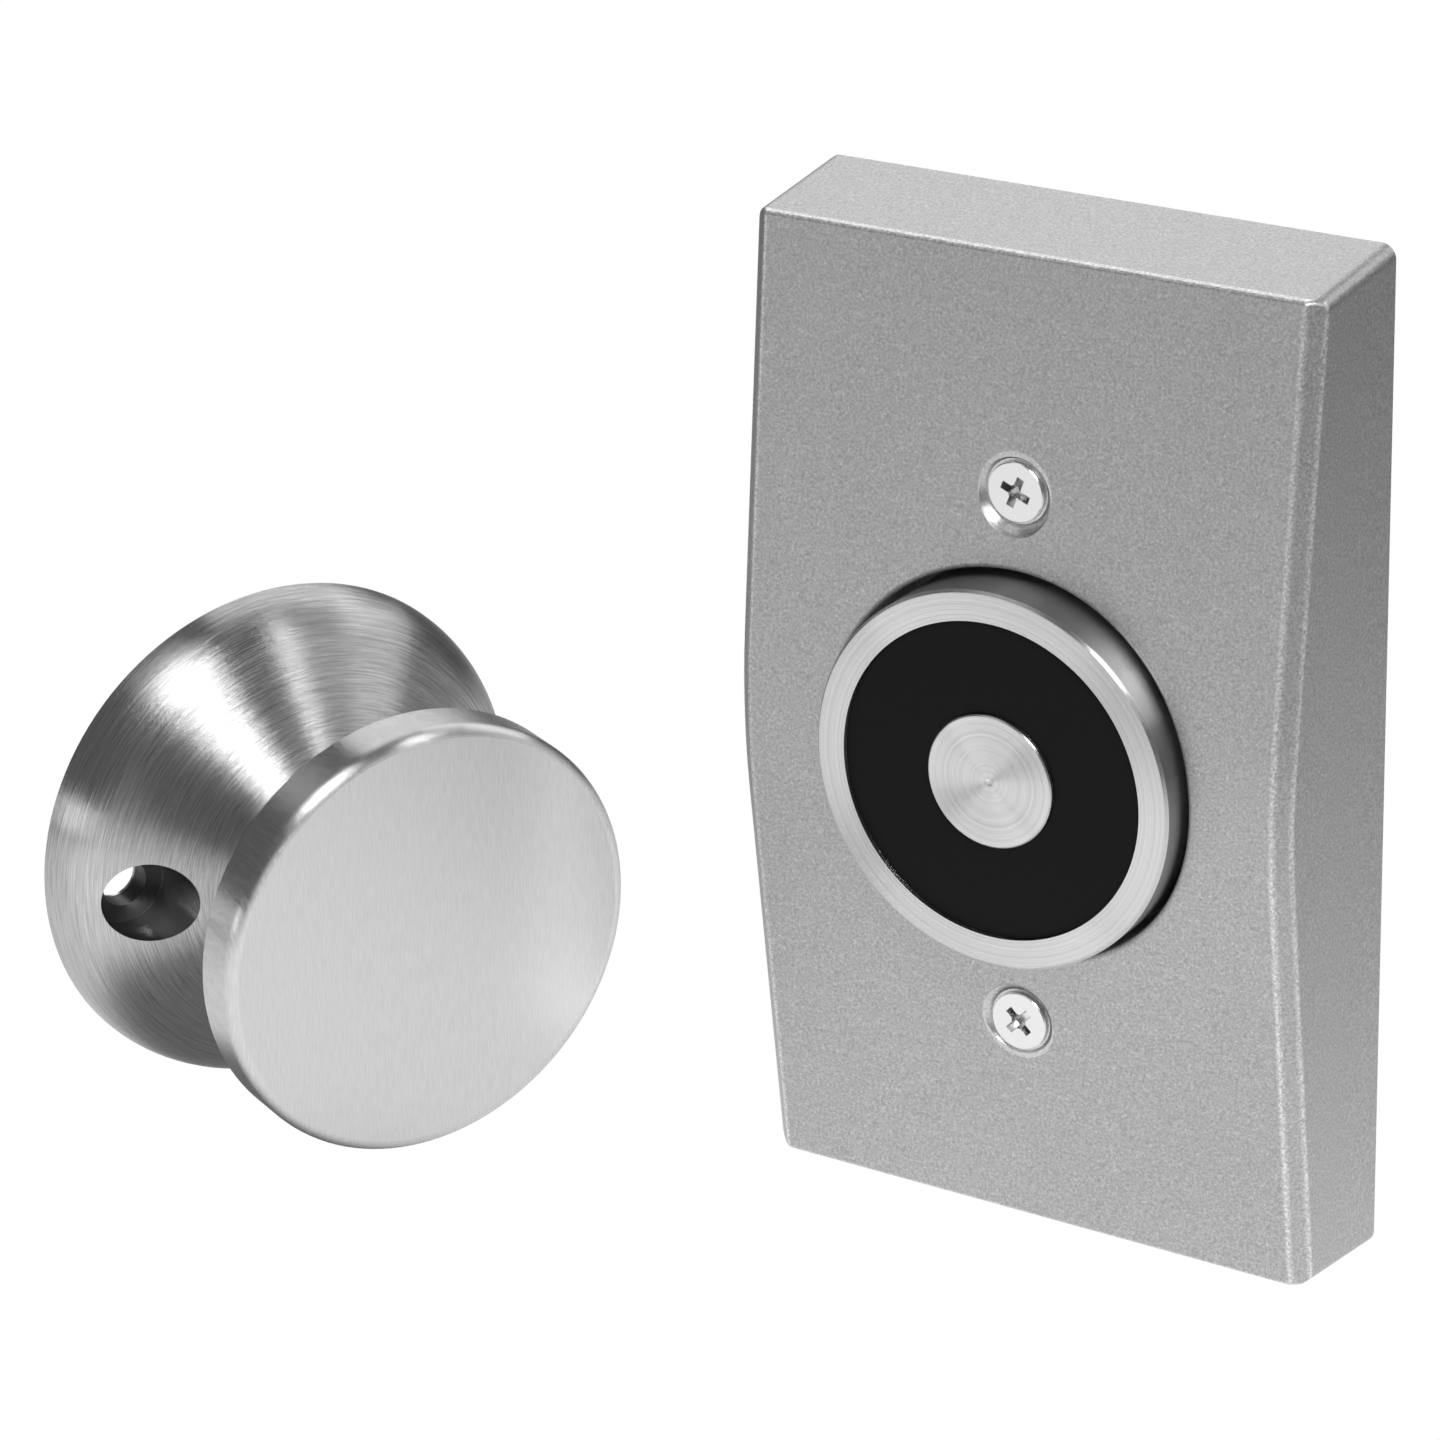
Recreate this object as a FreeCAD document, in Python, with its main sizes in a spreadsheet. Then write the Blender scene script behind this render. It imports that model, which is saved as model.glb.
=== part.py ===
import FreeCAD, Part
import os
import re
import Sketcher

# Electromagnetic door holder: a wall magnet under a cast cover, and the armature that goes on the door.
# Millimetres. X runs right along the wall, Z up, the wall is the plane Y = 0 and the magnet faces -Y.
# Every piece is drawn lying on its own base plane and is then stood up by its Placement.

doc = FreeCAD.newDocument("door_holder")
sheet = doc.addObject("Spreadsheet::Sheet", "sizes")

cover_sizes = {
    "plate_width": 67.6,
    "plate_height": 114.3,
    "end_depth": 15.9,
    "crest_radius": 84,
    "face_fall": 0.114,
    "end_draft": 1.8,
    "side_lean": 0.018,
    "edge_chamfer": 1.7,
    "corner_round": 1.6,
    "end_round": 0.5,
    "opening_round": 0.5,
    "front_wall": 2.6,
    "side_wall": 2.8,
    "opening_gap": 0.75,
    "collar_wall": 2.0,
    "collar_rear": 8.0,
    "rib_thickness": 1.6,
    "rib_rear": 9.0,
    "boss_radius": 4.6,
    "cover_screw_inset": 8.4,
    "dish_radius": 3.6,
    "dish_slope": 45,
    "dish_depth": 0.65,
}
magnet_sizes = {
    "magnet_depth": 24.5,
    "pot_radius": 21.3,
    "pot_wall": 3.4,
    "pot_floor": 4.5,
    "pot_edge": 0.3,
    "core_radius": 7.5,
    "core_edge": 0.15,
    "centre_mark": 0.5,
    "face_recess": 0.6,
    "potting_thickness": 1.8,
    "bobbin_wall": 1.0,
    "bobbin_flange": 1.2,
    "winding_margin": 1.0,
    "pin_offset": 13.0,
    "pin_radius": 0.5,
    "pin_hole_radius": 1.6,
    "core_screw_radius": 3.0,
    "core_screw_grip": 10.0,
    "core_head_radius": 5.0,
    "core_head_height": 4.2,
    "core_socket_width": 5.0,
    "washer_thickness": 1.4,
    "washer_slit": 1.2,
}
bracket_sizes = {
    "strap_thickness": 1.6,
    "strap_width": 46.0,
    "strap_inset": 4.3,
    "ear_width": 20.0,
    "body_height": 56.0,
    "box_hole_radius": 2.2,
    "burr_height": 2.4,
    "burr_wall": 1.4,
    "cover_screw_radius": 1.72,
    "cover_head_radius": 3.3,
    "cover_head_land": 0.3,
    "cover_head_cone": 1.5,
    "cross_span": 3.5,
    "cross_width": 0.9,
    "cross_corner": 0.3,
    "cross_depth": 1.7,
    "cross_taper": 8,
    "upper_turn": -23,
    "lower_turn": 45,
}
board_sizes = {
    "board_gap": 8.0,
    "board_thickness": 1.6,
    "board_inset": 1.0,
    "board_screw_inset": 5.0,
    "board_screw_radius": 1.45,
    "board_head_radius": 2.8,
    "board_head_height": 2.0,
    "standoff_flats": 5.5,
    "standoff_spigot": 1.4,
    "terminal_pitch": 5.08,
    "terminal_count": 4,
    "terminal_depth": 8.2,
    "terminal_height": 10.0,
    "terminal_inset": 12.0,
    "terminal_screw_radius": 1.7,
    "wire_window": 3.2,
    "bridge_width": 8.4,
    "bridge_length": 10.0,
    "bridge_height": 3.4,
    "bridge_across": -11.0,
    "bridge_up": 7.5,
    "capacitor_radius": 4.0,
    "capacitor_height": 11.5,
    "capacitor_across": 10.5,
    "capacitor_up": 6.5,
    "varistor_radius": 4.5,
    "varistor_thickness": 3.6,
    "varistor_lift": 1.5,
    "varistor_inset": 13.0,
    "lead_radius": 0.35,
}
armature_sizes = {
    "base_radius": 30.0,
    "shoulder_radius": 8.0,
    "flank_slope": 0.577,
    "neck_radius": 11.0,
    "neck_height": 26.8,
    "neck_round": 5.0,
    "armature_depth": 35.3,
    "disc_radius": 25.65,
    "disc_thickness": 6.3,
    "disc_round": 1.25,
    "disc_back_edge": 0.5,
    "door_screw_radius": 21.5,
    "counterbore_radius": 4.85,
    "counterbore_floor": 3.2,
    "door_hole_radius": 2.75,
    "ball_centre": 20.5,
    "ball_radius": 7.0,
    "stud_neck_radius": 3.6,
    "stud_shoulder_radius": 5.5,
    "stud_shoulder": 1.0,
    "stud_thread_radius": 4.0,
    "stud_thread_length": 4.4,
    "lip_radius": 5.4,
    "lip_flare": 0.9,
    "socket_radius": 9.5,
    "seat_front": 18.5,
    "seat_bore": 3.0,
    "snap_groove_start": 3.9,
    "snap_thickness": 1.2,
    "snap_bite": 0.9,
    "snap_width": 1.9,
    "snap_opening": 40,
    "spring_height": 1.3,
    "spring_thickness": 0.6,
    "spring_bore": 5.0,
    "edge_break": 0.4,
}
place_sizes = {
    "armature_across": -97.2,
    "armature_front": 23.05,
    "armature_yaw": 66.6,
    "armature_tip": 2.4,
}
clearances = {
    "slide_gap": 0.05,
    "seat_gap": 0.1,
    "loose_gap": 0.2,
    "tap_gap": 0.05,
    "cut_over": 2.0,
}
# What follows from the sizes above is worked out in the sheet too.
derived = {
    "half_height": "plate_height / 2",
    "front_half": "half_height - end_draft",
    "slope_length": "sqrt(1 + face_fall ^ 2)",
    "crest_run": "crest_radius * face_fall / slope_length",
    "crest_drop": "crest_radius * (1 - 1 / slope_length)",
    "shoulder_depth": "end_depth + face_fall * (front_half - crest_run)",
    "crest_depth": "shoulder_depth + crest_drop",
    "inner_half": "half_height - side_wall - end_draft / 4",
    "inner_front_half": "inner_half - end_draft",
    "opening_radius": "pot_radius + opening_gap",
    "cover_screw_rise": "opening_radius + cover_screw_inset",
    "strap_height": "plate_height - 2 * strap_inset",
    "box_screw_spacing": "cover_screw_rise + strap_height / 2",
    "face_at_screw": "shoulder_depth - face_fall * (cover_screw_rise - crest_run)",
    "dish_floor": "face_at_screw - dish_depth",
    "head_top": "face_at_screw - 0.1",
    "cover_screw_length": "head_top - strap_thickness / 4",
    "head_angle": "atan((cover_head_radius - cover_screw_radius) / cover_head_cone)",
    "pot_rear": "strap_thickness",
    "pot_inside": "pot_rear + pot_floor",
    "pot_bore": "pot_radius - pot_wall",
    "potting_front": "magnet_depth - face_recess",
    "potting_rear": "potting_front - potting_thickness",
    "bobbin_rear": "pot_inside + loose_gap",
    "bobbin_front": "potting_rear - loose_gap",
    "bobbin_radius": "pot_bore - loose_gap",
    "burr_top": "strap_thickness + burr_height",
    "boss_rear": "burr_top + loose_gap",
    "core_hole_top": "pot_inside + core_screw_grip + loose_gap",
    "washer_radius": "core_head_radius + slide_gap",
    "tube_radius": "core_radius + seat_gap + bobbin_wall",
    "board_width": "strap_width - 2 * board_inset",
    "board_height": "body_height",
    "board_screw_across": "board_width / 2 - board_screw_inset",
    "board_screw_up": "board_height / 2 - board_screw_inset",
    "terminal_up": "terminal_inset - board_height / 2",
    "varistor_up": "board_height / 2 - varistor_inset",
    "board_front": "-board_gap",
    "board_rear": "-board_gap - board_thickness",
    "terminal_length": "terminal_pitch * terminal_count",
    "terminal_back": "board_rear - terminal_height",
    "disc_rear": "armature_depth - disc_thickness",
    "ball_seat": "ball_radius + slide_gap",
    "lip_height": "ball_centre + sqrt(ball_seat ^ 2 - lip_radius ^ 2)",
    "flank_turn": "1 / sqrt(1 + flank_slope ^ 2)",
    "flank_start": "base_radius - shoulder_radius + shoulder_radius * flank_slope * flank_turn",
    "flank_low": "shoulder_radius * flank_turn",
    "flank_high": "flank_low + flank_slope * (flank_start - neck_radius)",
    "socket_top": "seat_front + 1",
    "snap_radius": "socket_radius + snap_bite",
    "snap_end": "snap_groove_start + snap_thickness",
    "seat_rear": "snap_end + spring_height + seat_gap",
    "armature_up": "base_radius * cos(armature_tip) - plate_height / 2",
}


def fill_sheet(groups, formulas):
    row = 0
    for group in groups:
        for alias, value in group.items():
            row += 1
            sheet.set("A%d" % row, alias)
            sheet.set("B%d" % row, str(value))
            sheet.setAlias("B%d" % row, alias)
    doc.recompute()
    for alias, formula in formulas.items():
        row += 1
        sheet.set("A%d" % row, alias)
        sheet.set("B%d" % row, "=" + formula)
        sheet.setAlias("B%d" % row, alias)
        doc.recompute()


groups = [cover_sizes, magnet_sizes, bracket_sizes, board_sizes, armature_sizes, place_sizes, clearances]
fill_sheet(groups, derived)
aliases = set(derived).union(*groups)


def size(expression):
    return float(sheet.evalExpression(str(expression)))


def linked(expression):
    # An expression in plain size names, as other objects of the document read it from the sheet.
    def from_sheet(word):
        return "sizes." + word[0] if word[0] in aliases else word[0]

    return re.sub(r"[a-z][a-z_]*", from_sheet, expression)


def bind(thing, target, expression):
    if any(word in aliases for word in re.findall(r"[a-z][a-z_]*", expression)):
        thing.setExpression(target, linked(expression))


def new_body(label):
    body = doc.addObject("PartDesign::Body", label)
    body.Label = label
    return body


def origin_plane(body, role):
    return [feature for feature in body.Origin.OriginFeatures if feature.Role == role][0]


def new_sketch(body, role="XY_Plane", lift="0"):
    sketch = body.newObject("Sketcher::SketchObject", body.Label + "_sketch")
    sketch.AttachmentSupport = [(origin_plane(body, role), "")]
    sketch.MapMode = "FlatFace"
    sketch.AttachmentOffset = FreeCAD.Placement(FreeCAD.Vector(0, 0, size(lift)), FreeCAD.Rotation())
    bind(sketch, ".AttachmentOffset.Base.z", lift)
    return sketch


def set_point(sketch, edge, end, across, upward, tag):
    for kind, word, expression in (("DistanceX", "across", across), ("DistanceY", "upward", upward)):
        name = "%s_%s" % (word, tag)
        index = sketch.addConstraint(Sketcher.Constraint(kind, -1, 1, edge, end, size(expression)))
        sketch.renameConstraint(index, name)
        bind(sketch, "Constraints." + name, expression)


def set_radius(sketch, edge, radius, tag):
    index = sketch.addConstraint(Sketcher.Constraint("Radius", edge, size(radius)))
    sketch.renameConstraint(index, "radius_" + tag)
    bind(sketch, "Constraints.radius_" + tag, radius)


def add_circle(sketch, radius, across="0", upward="0"):
    centre = FreeCAD.Vector(size(across), size(upward), 0)
    edge = sketch.addGeometry(Part.Circle(centre, FreeCAD.Vector(0, 0, 1), size(radius)), False)
    set_radius(sketch, edge, radius, str(edge))
    set_point(sketch, edge, 3, across, upward, str(edge))


def add_outline(sketch, corners, arcs=None):
    # A closed outline. arcs maps a corner's number to (radius, across and upward of a point on the way),
    # for a curved edge that starts at that corner.
    arcs = arcs or {}
    points = [FreeCAD.Vector(size(across), size(upward), 0) for across, upward in corners]
    ends = []
    first = sketch.GeometryCount
    for number, start in enumerate(points):
        stop = points[(number + 1) % len(points)]
        if number in arcs:
            radius, across, upward = arcs[number]
            middle = FreeCAD.Vector(size(across), size(upward), 0)
            forward = (middle - start).cross(stop - middle).z > 0
            curve = Part.Arc(start, middle, stop) if forward else Part.Arc(stop, middle, start)
            edge = sketch.addGeometry(curve, False)
            set_radius(sketch, edge, radius, str(edge))
        else:
            edge = sketch.addGeometry(Part.LineSegment(start, stop), False)
            forward = True
        ends.append((edge, 1, 2) if forward else (edge, 2, 1))
    for number, (across, upward) in enumerate(corners):
        edge, begin, _ = ends[number]
        before, _, finish = ends[number - 1]
        sketch.addConstraint(Sketcher.Constraint("Coincident", before, finish, edge, begin))
        set_point(sketch, edge, begin, across, upward, str(first + number))


def add_box(sketch, width, height, across="0", upward="0"):
    left = "%s - (%s) / 2" % (across, width)
    right = "%s + (%s) / 2" % (across, width)
    low = "%s - (%s) / 2" % (upward, height)
    high = "%s + (%s) / 2" % (upward, height)
    add_outline(sketch, [(left, low), (right, low), (right, high), (left, high)])


def pad(body, sketch, length, reverse=False, symmetric=False):
    feature = body.newObject("PartDesign::Pad", body.Label + "_pad")
    feature.Profile = sketch
    feature.Length = size(length)
    bind(feature, "Length", length)
    feature.Reversed = reverse
    if symmetric:
        feature.SideType = "Symmetric"
    doc.recompute()
    return feature


def cut(body, sketch, length=None, outward=False, taper=None, both=False):
    # A pocket, through everything if no length is given. outward cuts along the sketch's normal.
    before = body.Shape.Volume
    feature = body.newObject("PartDesign::Pocket", body.Label + "_cut")
    feature.Profile = sketch
    if length is None:
        feature.Type = "ThroughAll"
    else:
        feature.Length = size(length)
        bind(feature, "Length", length)
    if taper is not None:
        feature.TaperAngle = size(taper)
        bind(feature, "TaperAngle", taper)
    if both:
        feature.SideType = "Symmetric"
    feature.Reversed = outward
    doc.recompute()
    if not body.Shape.Volume < before - 1e-6:
        raise RuntimeError("a cut in %s removes nothing" % body.Label)
    return feature


def turn(label, corners, arcs=None):
    # A turned piece: its half section, across from the axis and up along it.
    body = new_body(label)
    sketch = new_sketch(body, "XZ_Plane")
    add_outline(sketch, corners, arcs)
    feature = body.newObject("PartDesign::Revolution", label + "_turned")
    feature.Profile = sketch
    feature.ReferenceAxis = (sketch, ["V_Axis"])
    feature.Angle = 360
    doc.recompute()
    return body


def edges_where(body, test):
    names = []
    for number, edge in enumerate(body.Tip.Shape.Edges, start=1):
        middle = edge.valueAt((edge.FirstParameter + edge.LastParameter) / 2)
        if test(edge, middle):
            names.append("Edge%d" % number)
    if not names:
        raise RuntimeError("no edge found on %s" % body.Label)
    return names


def soften(body, kind, amount, test):
    # A Fillet or a Chamfer on the edges that pass the test.
    names = edges_where(body, test)
    base = body.Tip
    feature = body.newObject("PartDesign::" + kind, "%s_%s" % (body.Label, kind.lower()))
    feature.Base = (base, names)
    target = "Radius" if kind == "Fillet" else "Size"
    setattr(feature, target, size(amount))
    bind(feature, target, amount)
    doc.recompute()
    return feature


def is_circle(edge, radius):
    curve = edge.Curve
    return curve.TypeId == "Part::GeomCircle" and abs(curve.Radius - size(radius)) < 1e-4


def on_wall(across="0", up="0", out="0", twist=0):
    # Stands a piece up on the wall: its own Z axis then points out of the wall.
    upright = FreeCAD.Placement(FreeCAD.Vector(0, 0, 0), FreeCAD.Rotation(FreeCAD.Vector(1, 0, 0), 90))
    shift = FreeCAD.Vector(size(across), size(up), size(out))
    return upright.multiply(FreeCAD.Placement(shift, FreeCAD.Rotation(FreeCAD.Vector(0, 0, 1), twist)))


def on_door():
    # The armature stands beside the wall unit, turned by its yaw, its axis tipped a little down.
    yaw = FreeCAD.Rotation(FreeCAD.Vector(0, 0, 1), size("armature_yaw"))
    lean = FreeCAD.Rotation(FreeCAD.Vector(1, 0, 0), 90 + size("armature_tip"))
    place = FreeCAD.Vector(size("armature_across"), -size("armature_front"), size("armature_up"))
    return FreeCAD.Placement(place, yaw.multiply(lean))


def group_of(label, bodies):
    # Like pieces that share one node stay separate solids in a compound.
    group = doc.addObject("Part::Compound", label)
    group.Label = label
    group.Links = bodies
    doc.recompute()
    return group


board_corners = [
    (side + "board_screw_across", end + "board_screw_up") for side in ("", "-") for end in ("", "-")
]


def make_cover():
    # The cavity is drawn as the casting's own core: collar, bosses and ribs are hollows in that core.
    core = new_body("casting_core")
    sketch = new_sketch(core, "YZ_Plane")
    depth_at_end = "shoulder_depth - front_wall - face_fall * (inner_front_half - crest_run)"
    add_outline(sketch, [
        ("-inner_half", "-cut_over"),
        ("inner_half", "-cut_over"),
        ("inner_half", "0"),
        ("inner_front_half", depth_at_end),
        ("crest_run", "shoulder_depth - front_wall"),
        ("-crest_run", "shoulder_depth - front_wall"),
        ("-inner_front_half", depth_at_end),
        ("-inner_half", "0"),
    ], {4: ("crest_radius", "0", "crest_depth - front_wall")})
    pad(core, sketch, "plate_width - 2 * side_wall", symmetric=True)
    sketch = new_sketch(core, lift="collar_rear")
    add_circle(sketch, "opening_radius + collar_wall")
    cut(core, sketch, outward=True)
    sketch = new_sketch(core, lift="boss_rear")
    add_circle(sketch, "boss_radius", upward="cover_screw_rise")
    add_circle(sketch, "boss_radius", upward="-cover_screw_rise")
    cut(core, sketch, outward=True)
    sketch = new_sketch(core, lift="rib_rear")
    rib_length = "half_height - cover_screw_rise"
    for side in ("", "-"):
        add_box(sketch, "rib_thickness", rib_length, upward="%s(cover_screw_rise + half_height) / 2" % side)
    cut(core, sketch, outward=True)
    sketch = new_sketch(core, lift="rib_rear")
    add_box(sketch, "plate_width", "rib_thickness")
    cut(core, sketch, outward=True)

    cover = new_body("cover")
    sketch = new_sketch(cover, "YZ_Plane")
    add_outline(sketch, [
        ("-half_height", "0"),
        ("half_height", "0"),
        ("front_half", "end_depth"),
        ("crest_run", "shoulder_depth"),
        ("-crest_run", "shoulder_depth"),
        ("-front_half", "end_depth"),
    ], {3: ("crest_radius", "0", "crest_depth")})
    pad(cover, sketch, "plate_width", symmetric=True)
    lean_in(cover)
    half = size("plate_width") / 2
    depth = size("end_depth")
    near_side = half - 3 * size("end_round")

    def long_front(edge, middle):
        ends = [vertex.Point for vertex in edge.Vertexes]
        return abs(middle.x) > half / 2 and all(end.z > depth - 0.1 for end in ends)

    soften(cover, "Chamfer", "edge_chamfer", long_front)

    def front_to_back(edge, middle):
        ends = sorted(vertex.Point.z for vertex in edge.Vertexes)
        return abs(middle.x) > near_side and ends[0] < 0.1 and ends[1] > depth / 2

    soften(cover, "Fillet", "corner_round", front_to_back)

    def front_rim(edge, middle):
        ends = [vertex.Point for vertex in edge.Vertexes]
        return len(ends) == 2 and all(end.z > depth - size("edge_chamfer") - 0.5 for end in ends)

    soften(cover, "Fillet", "end_round", front_rim)
    hollow = cover.newObject("PartDesign::Boolean", "cover_hollow")
    hollow.setObjects([core])
    hollow.Type = "Cut"
    doc.recompute()
    sketch = new_sketch(cover)
    add_circle(sketch, "opening_radius")
    cut(cover, sketch, outward=True)

    def opening_front(edge, middle):
        reach = (middle.x ** 2 + middle.y ** 2) ** 0.5
        return reach < size("opening_radius + slide_gap") and middle.z > depth

    soften(cover, "Fillet", "opening_round", opening_front)
    for side in ("", "-"):
        rise = side + "cover_screw_rise"
        sketch = new_sketch(cover, lift="dish_floor")
        add_circle(sketch, "dish_radius", upward=rise)
        cut(cover, sketch, "dish_depth * 4", outward=True, taper="dish_slope")
        sketch = new_sketch(cover, lift="head_top - cover_head_land")
        add_circle(sketch, "cover_head_radius + seat_gap", upward=rise)
        cut(cover, sketch, "cover_head_cone", taper="-head_angle")
        sketch = new_sketch(cover)
        add_circle(sketch, "cover_screw_radius + seat_gap", upward=rise)
        cut(cover, sketch, outward=True)
    cover.Placement = on_wall()
    return cover


def lean_in(cover):
    # The two long sides lean in towards the front, so that the casting leaves its mould.
    sketch = new_sketch(cover, "XZ_Plane")
    beyond = "plate_width / 2 + cut_over"
    reach = "crest_depth + cut_over"
    for side in ("", "-"):
        add_outline(sketch, [
            (side + "plate_width / 2", "0"),
            ("%s(%s)" % (side, beyond), "0"),
            ("%s(%s)" % (side, beyond), reach),
            ("%s(plate_width / 2 - side_lean * (%s))" % (side, reach), reach),
        ])
    cut(cover, sketch, both=True)


def make_cover_screw(rise, twist):
    screw = turn("cover_screw", [
        ("0", "-cover_screw_length"),
        ("cover_screw_radius - edge_break", "-cover_screw_length"),
        ("cover_screw_radius", "edge_break - cover_screw_length"),
        ("cover_screw_radius", "-cover_head_land - cover_head_cone"),
        ("cover_head_radius", "-cover_head_land"),
        ("cover_head_radius", "-edge_break / 4"),
        ("cover_head_radius - edge_break / 4", "0"),
        ("0", "0"),
    ])
    sketch = new_sketch(screw)
    add_cross(sketch, "cross_span / 2", "cross_width / 2")
    cut(screw, sketch, "cross_depth", taper="-cross_taper")
    screw.Placement = on_wall(up=rise, out="head_top", twist=twist)
    return screw


def add_cross(sketch, reach, half):
    # The screwdriver's cross, its four inner corners cut off.
    corners = []
    for across, upward in ((1, -1), (1, 1), (-1, 1), (-1, -1)):
        wide = ("%d * %s" % (across, reach), "%d * %s" % (upward, half))
        near_wide = ("%d * (%s + cross_corner)" % (across, half), "%d * %s" % (upward, half))
        near_tall = ("%d * %s" % (across, half), "%d * (%s + cross_corner)" % (upward, half))
        tall = ("%d * %s" % (across, half), "%d * %s" % (upward, reach))
        quarter = [tall, near_tall, near_wide, wide]
        corners += quarter if across * upward < 0 else quarter[::-1]
    add_outline(sketch, corners)


def add_hexagon(sketch, flats, across="0", upward="0"):
    # Two corners lie above and below the centre, four beside it.
    corners = []
    for side, rise in ((0, -2), (1, -1), (1, 1), (0, 2), (-1, 1), (-1, -1)):
        corners.append(("%s + %d * %s / 2" % (across, side, flats),
                        "%s + %d * %s / (2 * sqrt(3))" % (upward, rise, flats)))
    add_outline(sketch, corners)


def make_pot():
    hole = "core_screw_radius + loose_gap"
    pot = turn("magnet_pot", [
        (hole, "pot_rear"),
        ("pot_radius", "pot_rear"),
        ("pot_radius", "magnet_depth - pot_edge"),
        ("pot_radius - pot_edge", "magnet_depth"),
        ("pot_bore", "magnet_depth"),
        ("pot_bore", "pot_inside"),
        (hole, "pot_inside"),
    ])
    sketch = new_sketch(pot)
    for side in ("", "-"):
        add_circle(sketch, "pin_hole_radius", across=side + "pin_offset")
    cut(pot, sketch, outward=True)
    pot.Placement = on_wall()
    return pot


def make_core():
    thread = "core_screw_radius + tap_gap"
    core = turn("magnet_core", [
        (thread, "pot_inside"),
        ("core_radius", "pot_inside"),
        ("core_radius", "magnet_depth - core_edge"),
        ("core_radius - core_edge", "magnet_depth"),
        ("centre_mark", "magnet_depth"),
        ("0", "magnet_depth - centre_mark / 2"),
        ("0", "core_hole_top + core_screw_radius / 2"),
        (thread, "core_hole_top"),
    ])
    core.Placement = on_wall()
    return core


def make_potting():
    inner = "core_radius + slide_gap"
    outer = "pot_bore - slide_gap"
    ring = turn("potting_ring", [
        (inner, "potting_rear"),
        (outer, "potting_rear"),
        (outer, "potting_front"),
        (inner, "potting_front"),
    ])
    ring.Placement = on_wall()
    return ring


def make_bobbin():
    inner = "core_radius + seat_gap"
    bobbin = turn("coil_bobbin", [
        (inner, "bobbin_rear"),
        ("bobbin_radius", "bobbin_rear"),
        ("bobbin_radius", "bobbin_rear + bobbin_flange"),
        ("tube_radius", "bobbin_rear + bobbin_flange"),
        ("tube_radius", "bobbin_front - bobbin_flange"),
        ("bobbin_radius", "bobbin_front - bobbin_flange"),
        ("bobbin_radius", "bobbin_front"),
        (inner, "bobbin_front"),
    ])
    sketch = new_sketch(bobbin, lift="bobbin_rear + bobbin_flange")
    for side in ("", "-"):
        add_circle(sketch, "pin_radius + slide_gap", across=side + "pin_offset")
    cut(bobbin, sketch, "bobbin_flange + cut_over")
    bobbin.Placement = on_wall()
    return bobbin


def make_winding():
    inner = "tube_radius + slide_gap"
    outer = "bobbin_radius - winding_margin"
    low = "bobbin_rear + bobbin_flange + slide_gap"
    high = "bobbin_front - bobbin_flange - slide_gap"
    winding = turn("coil_winding", [(inner, low), (outer, low), (outer, high), (inner, high)])
    winding.Placement = on_wall()
    return winding


def make_coil_pin(side):
    tip = "board_rear - 2 * pin_radius"
    pin = turn("coil_pin", [
        ("0", tip),
        ("pin_radius / 2", tip),
        ("pin_radius", tip + " + pin_radius / 2"),
        ("pin_radius", "bobbin_rear + bobbin_flange"),
        ("0", "bobbin_rear + bobbin_flange"),
    ])
    pin.Placement = on_wall(across=side + "pin_offset")
    return pin


def make_core_screw():
    under_head = "-washer_thickness"
    head_end = "-washer_thickness - core_head_height"
    tip = "pot_inside + core_screw_grip"
    screw = turn("core_screw", [
        ("0", head_end),
        ("core_head_radius - edge_break", head_end),
        ("core_head_radius", head_end + " + edge_break"),
        ("core_head_radius", under_head),
        ("core_screw_radius", under_head),
        ("core_screw_radius", tip + " - edge_break"),
        ("core_screw_radius - edge_break", tip),
        ("0", tip),
    ])
    sketch = new_sketch(screw, lift=head_end)
    add_hexagon(sketch, "core_socket_width")
    cut(screw, sketch, "core_head_height * 0.6", outward=True)
    screw.Placement = on_wall()
    return screw


def make_lock_washer():
    inner = "core_screw_radius + seat_gap"
    washer = turn("lock_washer", [
        (inner, "-washer_thickness"),
        ("washer_radius", "-washer_thickness"),
        ("washer_radius", "0"),
        (inner, "0"),
    ])
    sketch = new_sketch(washer)
    add_box(sketch, "washer_slit", "washer_radius + cut_over", upward="(washer_radius + cut_over) / 2")
    cut(washer, sketch)
    washer.Placement = on_wall()
    return washer


def make_bracket():
    bracket = new_body("mounting_bracket")
    ear = "ear_width / 2"
    wide = "strap_width / 2"
    end = "strap_height / 2"
    waist = "body_height / 2"
    slant = "body_height / 2 + (strap_width - ear_width) / 4"
    upper = [(wide, waist), (ear, slant), (ear, end)]
    upper += [("-" + across, upward) for across, upward in reversed(upper)]
    lower = [(across, "-(%s)" % upward) for across, upward in reversed(upper)]
    sketch = new_sketch(bracket)
    add_outline(sketch, upper + lower)
    pad(bracket, sketch, "strap_thickness")
    height = size("strap_height") / 2
    soften(bracket, "Fillet", "ear_width / 8", lambda edge, middle: abs(abs(middle.y) - height) < 1e-3
           and abs(edge.Vertexes[0].Point.z - edge.Vertexes[1].Point.z) > 1e-3)
    sketch = new_sketch(bracket)
    for side in ("", "-"):
        add_circle(sketch, "cover_screw_radius + burr_wall", upward=side + "cover_screw_rise")
    pad(bracket, sketch, "burr_top")
    sketch = new_sketch(bracket)
    add_circle(sketch, "core_screw_radius + loose_gap")
    for side in ("", "-"):
        add_circle(sketch, "box_hole_radius", upward=side + "box_screw_spacing / 2")
        add_circle(sketch, "cover_screw_radius + tap_gap", upward=side + "cover_screw_rise")
        add_circle(sketch, "pin_hole_radius", across=side + "pin_offset")
    for across, up in board_corners:
        add_circle(sketch, "board_screw_radius + seat_gap", across, up)
    cut(bracket, sketch, outward=True)
    bracket.Placement = on_wall()
    return bracket


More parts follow.
